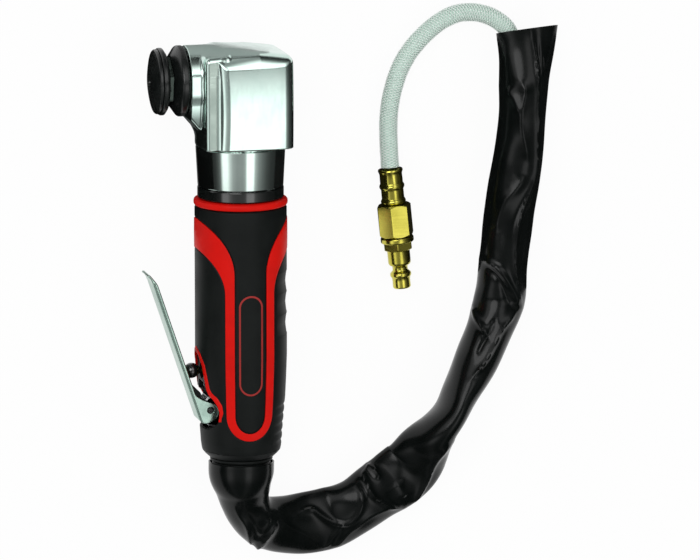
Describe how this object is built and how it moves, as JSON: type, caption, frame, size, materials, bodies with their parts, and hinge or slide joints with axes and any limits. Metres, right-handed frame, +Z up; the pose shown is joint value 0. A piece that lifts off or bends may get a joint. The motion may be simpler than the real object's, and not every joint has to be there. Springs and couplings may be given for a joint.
{
  "type": "pneumatic right-angle surface tool",
  "caption": "Right-angle air tool lying on its side: cast head with a grooved clamping hub, vane motor in a rubber grip, throttle lever, exhaust over-hose and air hose with a quick plug.",
  "frame": {"origin": "on the head's flat side, on the surface that the tool lies on, straight below the crossing of the spindle axis and the handle axis", "axes": "+X from the clamping hub along the spindle axis, +Y from the exhaust end along the handle to the head, +Z up from the surface"},
  "size_m": [0.237, 0.3066, 0.052],
  "materials": {
    "cast_aluminium": "polished die casting",
    "polished_steel": "polished",
    "steel": "ground",
    "black_steel": "blackened, smooth",
    "lever_steel": "satin",
    "housing_aluminium": "machined",
    "black_rubber": "satin",
    "gloss_black": "glossy",
    "red_rubber": "satin",
    "sleeve_rubber": "glossy thin sheet",
    "clear_hose": "clear, with a woven white braid inside",
    "brass": "polished",
    "vane_composite": "pressed fibre"
  },
  "bodies": {
    "tool_body": {"head_housing": "cast_aluminium", "front_bearing_outer": "steel", "rear_bearing": "steel", "bearing_circlip": "black_steel", "pinion_bearing": "steel", "ring_gear": "steel", "front_end_plate": "steel", "rear_end_plate": "steel", "rotor_bearing_front": "polished_steel", "rotor_bearing_rear": "polished_steel", "cylinder_liner": "polished_steel", "coupling_collar": "polished_steel", "neck_band": "gloss_black", "grip_ring": "red_rubber", "motor_housing": "housing_aluminium", "grip_sleeve": "black_rubber", "grip_inlay": "red_rubber", "lever_surround": "red_rubber", "lever_pin": "black_steel", "valve_bush": "brass", "valve_seal": "black_rubber", "valve_spring": "steel", "inlet_nipple": "brass", "exhaust_collar": "black_rubber", "inner_ferrule": "brass", "exhaust_sleeve": "sleeve_rubber", "air_hose": "clear_hose", "hose_ferrule": "brass", "union_nut": "brass", "hose_adapter": "brass", "quick_plug": "brass"},
    "spindle_unit": {"spindle": "steel", "front_bearing_inner": "steel", "bevel_gear": "steel", "inner_flange": "black_steel", "outer_flange": "black_steel", "hub_cap": "black_steel", "hub_screw": "black_steel"},
    "carrier": {"planet_carrier": "steel", "bevel_pinion": "steel", "planet_pin_1": "polished_steel", "planet_pin_2": "polished_steel", "planet_pin_3": "polished_steel"},
    "planet_1": {"planet_gear_1": "steel"},
    "planet_2": {"planet_gear_2": "steel"},
    "planet_3": {"planet_gear_3": "steel"},
    "rotor_unit": {"rotor": "steel", "vane_1": "vane_composite", "vane_2": "vane_composite", "vane_3": "vane_composite", "vane_4": "vane_composite"},
    "lever_unit": {"throttle_lever": "lever_steel", "lever_block": "black_rubber"},
    "plunger": {"valve_button": "gloss_black", "valve_stem": "brass"}
  },
  "joints": [
    {"name": "spindle_spin", "type": "hinge", "parent": "tool_body", "child": "spindle_unit", "pos_m": [0, 0, 0.026], "axis": [1, 0, 0], "continuous": true},
    {"name": "carrier_spin", "type": "hinge", "parent": "tool_body", "child": "carrier", "pos_m": [0, 0, 0.026], "axis": [0, 1, 0], "continuous": true},
    {"name": "planet_spin_1", "type": "hinge", "parent": "carrier", "child": "planet_1", "pos_m": [0.012, -0.034, 0.026], "axis": [0, 1, 0], "continuous": true},
    {"name": "planet_spin_2", "type": "hinge", "parent": "carrier", "child": "planet_2", "pos_m": [-0.006, -0.034, 0.03639], "axis": [0, 1, 0], "continuous": true},
    {"name": "planet_spin_3", "type": "hinge", "parent": "carrier", "child": "planet_3", "pos_m": [-0.006, -0.034, 0.01561], "axis": [0, 1, 0], "continuous": true},
    {"name": "rotor_spin", "type": "hinge", "parent": "tool_body", "child": "rotor_unit", "pos_m": [0, 0, 0.026], "axis": [0, 1, 0], "continuous": true},
    {"name": "lever_pivot", "type": "hinge", "parent": "tool_body", "child": "lever_unit", "pos_m": [-0.0191, -0.1834, 0.026], "axis": [0, 0, -1], "range_deg": [0, 12], "stiffness_Nm_per_rad": 0.6, "springref_deg": -20.05},
    {"name": "valve_slide", "type": "slide", "parent": "tool_body", "child": "plunger", "axis": [1, 0, 0], "range_m": [0, 0.0049], "deforming": ["valve_spring"]}
  ],
  "couplings": [
    {"joint": "carrier_spin", "follows": "spindle_spin", "ratio": 1.4286},
    {"joint": "planet_spin_1", "follows": "spindle_spin", "ratio": -4.2857},
    {"joint": "planet_spin_2", "follows": "spindle_spin", "ratio": -4.2857},
    {"joint": "planet_spin_3", "follows": "spindle_spin", "ratio": -4.2857},
    {"joint": "rotor_spin", "follows": "spindle_spin", "ratio": 5.7143},
    {"joint": "valve_slide", "follows": "lever_pivot", "m_per_rad": 0.02297}
  ]
}
